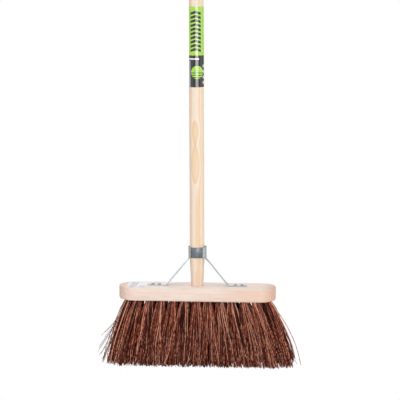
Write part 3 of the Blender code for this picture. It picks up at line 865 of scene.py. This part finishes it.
def fibreTree(finish):
    bench, size = newTree("tuftFibres", {"Seed": tufts["seed"], **tufts["inputs"]})

    def read(name, kind="FLOAT_VECTOR"):
        return bench.node("GeometryNodeInputNamedAttribute", {"Name": name}, data_type=kind)

    def keep(geometry, name, value, kind="FLOAT_VECTOR"):
        return bench.node("GeometryNodeStoreNamedAttribute", {"Geometry": geometry, "Name": name, "Value": value},
                          data_type=kind, domain="POINT")

    def chance(offset):
        limits = {0: (0.0, 0.0, 0.0), 1: (1.0, 1.0, 1.0)}
        return bench.node("FunctionNodeRandomValue", {**limits, "Seed": size["Seed"] + offset},
                          data_type="FLOAT_VECTOR")

    # every tuft's point becomes one point for each fibre, spread like sunflower seeds
    amount = (size["Fibres"] * read("fullness", "FLOAT")).sum("ROUND")
    copied = bench.node("GeometryNodeDuplicateElements", {"Geometry": size["Geometry"], "Amount": amount},
                        domain="POINT")
    number = Wire(bench, copied.socket.node.outputs["Duplicate Index"])
    jitter = bench.split(chance(5))
    share = ((number + 0.5) / amount.higher(1.0)).root() * (0.92 + 0.12 * jitter[0])
    angle = number * tufts["goldenTurn"] + read("turn", "FLOAT") + jitter[1] * 0.7
    points = keep(copied, "spot", bench.join(share * angle.cosine(), share * angle.sine(), 0.0))
    for offset, name in enumerate(("luck", "fate", "drift"), 1):
        points = keep(points, name, chance(offset))
    rod = bench.node("GeometryNodeMeshCylinder", {"Vertices": tufts["sides"], "Side Segments": tufts["segments"],
                                                  "Radius": 1.0, "Depth": 1.0}, fill_type="NGON")
    rod = keep(rod, "local", bench.node("GeometryNodeInputPosition"))
    grown = bench.node("GeometryNodeInstanceOnPoints", {"Points": points, "Instance": rod})
    solid = bench.node("GeometryNodeRealizeInstances", {"Geometry": grown})

    # where each point of a fibre goes, by t, how far along the fibre it is
    localX, localY, localZ = bench.split(read("local"))
    hereX, hereY, _ = bench.split(bench.node("GeometryNodeInputPosition"))
    spotX, spotY, _ = bench.split(read("spot"))
    luck, fate, drift = (bench.split(read(name)) for name in ("luck", "fate", "drift"))
    leanX, leanY, lift = bench.split(read("lean"))
    t = 0.5 - localZ
    fan = 1.3 * t - 0.3 * t * t
    ease, wider, across = bench.split(read("manner"))
    neck = size["Root Radius"] + (size["Neck Radius"] * wider - size["Root Radius"]) * t.rise(0.03, 0.18)
    astray = fate[0].sum("GREATER_THAN", 1 - size["Stray Share"])
    own = t ** 1.1 * (size["Loose"] + astray * size["Stray Reach"]) * ease
    clump = bench.node("ShaderNodeTexNoise", {"Vector": read("spot"), "W": read("turn", "FLOAT") * 9, "Scale": 4.2,
                                              "Detail": 0.0}, "Color", noise_dimensions="4D")
    clumpX, clumpY, clumpTone = bench.split(clump)  # fibres that lie side by side keep together
    ownX = ((drift[0] + drift[1] + luck[0] - 1.5) * 0.80 + (clumpX - 0.5) * 3.4) * own
    ownY = ((drift[2] + luck[1] + fate[1] - 1.5) * 0.6 + (clumpY - 0.5) * 2.0) * own
    wave = size["Wave"] * t * (1 + astray)
    waveX = (t * (3.0 + 9.0 * luck[0]) + luck[1] * tau).sine() * wave
    waveY = (t * (3.0 + 9.0 * luck[1]) + drift[0] * tau).sine() * wave
    thick = size["Width"] * (0.46 + fate[1] * fate[1] * fate[1] * 1.35) * (1.05 - 0.20 * t)
    short = size["Ragged"] * fate[2] * (fate[2] + 0.35 * astray) + lift * (0.35 + 0.4 * drift[2] + 0.5 * abs(spotX))
    x = hereX - localX + leanX * fan + spotX * (neck + (size["Tip X"] - neck) * t) + ownX + waveX + localX * thick
    y = (hereY - localY + leanY * fan + spotY * (neck + (size["Tip Y"] * across - neck) * t) + ownY + waveY
         + localY * thick * (0.6 + 0.5 * luck[2]))
    whole = size["Fibre Length"] + size["Root Depth"]
    soft = tufts["limitSoftness"]
    x, y = (value.sum("SMOOTH_MIN", limit, soft).sum("SMOOTH_MAX", 0 - limit, soft)
            for value, limit in ((x, size["Limit X"]), (y, size["Limit Y"])))
    place = bench.join(x, y, whole - t * (whole - short))
    moved = bench.node("GeometryNodeSetPosition", {"Geometry": solid, "Position": place})
    tone = 0.97 * luck[2] + 0.58 * clumpTone.rise(0.32, 0.68) + 0.14 * read("tuftTone", "FLOAT") - 0.375
    toned = keep(moved, "fibreTone", tone, "FLOAT")
    toned = keep(toned, "along", t, "FLOAT")
    for name in ("local", "spot", "luck", "fate", "drift", "lean", "turn", "tuftTone", "fullness", "manner"):
        toned = bench.node("GeometryNodeRemoveAttribute", {"Geometry": toned, "Name": name})
    return endTree(bench, toned, finish)


def buildTufts(finish):
    tree = fibreTree(finish)
    chance = random.Random(tufts["seed"])
    for row, rowName in enumerate(("front", "midfront", "midback", "back")):
        places = [place for place in tuftPlaces() if place[2] == row]
        starts, leans, manners, turns, tones, full = [], [], [], [], [], []
        for x, y, _, number in places:
            half = int(x >= 0)
            fan = tufts["fan"][half]
            if row in (0, tufts["rows"] - 1) and number in (1, len(places)):
                fan += tufts["cornerReach"]
            lift = tufts["endLift"][half] * max(0.0, abs(x) / endColumn - 0.85) / 0.15
            steps = round((endColumn - abs(x)) / columnPitch)  # 0 for the end column
            sideways = tufts["cornerFan"] if steps == 0 else tufts["sideFan"]
            inset = copysign(tufts["inset"][half], x) if steps == 0 else 0.0
            starts.append((x - inset, y, 0.0))
            leans.append((x * (fan - 1) + inset + chance.uniform(-1, 1) * tufts["wander"],
                          y * (sideways - 1) + chance.uniform(-1, 1) * tufts["wander"], lift))
            manners.append(tufts["manner"][steps] if steps < 2 else (1.0, 1.0, 1.0))
            turns.append(chance.uniform(0, tau))
            tones.append(chance.random())
            full.append(chance.uniform(0.88, 1.1) * (tufts["endFullness"] if steps == 0 else 1.0))
        seeds = pointMesh(rowName + "Roots", starts)
        for key, values in (("lean", leans), ("manner", manners)):
            target = seeds.attributes.new(key, "FLOAT_VECTOR", "POINT")
            for i, value in enumerate(values):
                target.data[i].vector = value
        for key, values in (("turn", turns), ("tuftTone", tones), ("fullness", full)):
            seeds.attributes.new(key, "FLOAT", "POINT").data.foreach_set("value", values)
        mesh = runTree(rowName + "Tufts", seeds, tree, {"Seed": tufts["seed"] + 20 * row, **tufts["inputs"]})
        mesh.shade_smooth()
        nodes = [f"tuft_{rowName}_{number:02d}" for _, _, _, number in places]
        newPiece(rowName + "Tufts", mesh, "piassava", nodes)
        print(rowName, "row grown,", len(mesh.polygons), "faces")


# single fibres that stand away from the tufts at both ends, in millimetres
loose = {
    "steps": 16, "sides": 6, "taper": (1.1, 0.4), "startHeight": 126,
    # start, two pulls, end, radius, tone
    "fibres": [
        ((135, -10), (171.6, -14, 83.5), (191, -20, 47), (199, -24, 2), 0.85, 0.76),
        ((138, -14), (156, -18, 100), (170, -22, 76), (184.5, -28, 36), 0.65, 1.25),
        ((130, -6), (146, -12, 85), (174, -16, 45), (191.5, -20, 3), 0.5, 0.62),
        ((-128, -8), (-141, -12, 100), (-156, -16, 76), (-184, -20, 51), 0.65, 0.12),
        ((-128, -16), (-141, -18, 98), (-154, -22, 77), (-175, -26, 59), 0.6, 0.05),
        ((-126, -4), (-142, -8, 90), (-165, -10, 60), (-189, -12, 24), 0.55, 0.25),
        ((-126, -12), (-143, -16, 86), (-166, -20, 56), (-190.5, -22, 19), 0.5, 0.40),
        ((-127, 4), (-143, 8, 90), (-164, 12, 64), (-183, 16, 40), 0.5, 0.20),
        ((-125, 0), (-142, 2, 80), (-160, 4, 46), (-181, 6, 9), 0.52, 0.45),
        ((-124, -20), (-140, -26, 80), (-158, -32, 50), (-186, -36, 16), 0.55, 0.15),
        ((-124, 10), (-140, 18, 80), (-158, 24, 46), (-182, 28, 12), 0.52, 0.30),
        ((-125, -6), (-143, -8, 88), (-164, -12, 56), (-185, -16, 14), 0.7, 0.10),
        ((-124, -14), (-140, -20, 86), (-160, -24, 50), (-181, -28, 6), 0.7, 0.20),
        ((-125, 2), (-142, 4, 84), (-161, 8, 52), (-183.5, 10, 8), 0.6, 0.05),
        ((-126, -10), (-143, -14, 90), (-164, -18, 62), (-188, -20, 30), 0.6, 0.05),
        ((-124, 6), (-140, 10, 86), (-159, 14, 50), (-179, 18, 4), 0.7, 0.30),
    ]
}


def buildLoose(finish):
    shape = bmesh.new()
    tone = shape.verts.layers.float.new("fibreTone")
    along = shape.verts.layers.float.new("along")
    for start, *others, radius, shade in loose["fibres"]:
        a, b, c, d = (Vector(point) / 1000 for point in ((*start, loose["startHeight"]), *others))
        rows = []
        for t in spaced(0, 1, loose["steps"]):
            middle = a * (1 - t) ** 3 + 3 * b * t * (1 - t) ** 2 + 3 * c * t * t * (1 - t) + d * t ** 3
            width = radius / 1000 * (loose["taper"][0] - loose["taper"][1] * t)
            row = [shape.verts.new(middle + Vector(point)) for point in circle(width, 0.0, loose["sides"])]
            for vert in row:
                vert[tone], vert[along] = shade, t
            rows.append(row)
        skinRings(shape, rows)
    bmesh.ops.recalc_face_normals(shape, faces=shape.faces)
    newPiece("looseFibres", smooth(meshFrom(shape, "looseFibres"), 60), "piassava", finish=finish)
    print("loose fibres added")


setStudio()
buildBlock()
buildHandle()
buildLabel()
buildSticker()
# the band gets the darker, painted-shade copy of the zinc
buildBand(zincFinish("dullGalvanised", bracket["band"]))
zinc = zincFinish("brightGalvanised", bracket["stays"])
tabRadius = handleRadius + fitGap + stripThick + fitGap
buildStay("leftStay", "left_stay", -1, tabRadius, zinc)
buildStay("rightStay", "right_stay", 1, tabRadius + stripThick + fitGap, zinc)
print("stays built")
buildScrews()
piassava = fibreFinish()
buildTufts(piassava)
buildLoose(piassava)
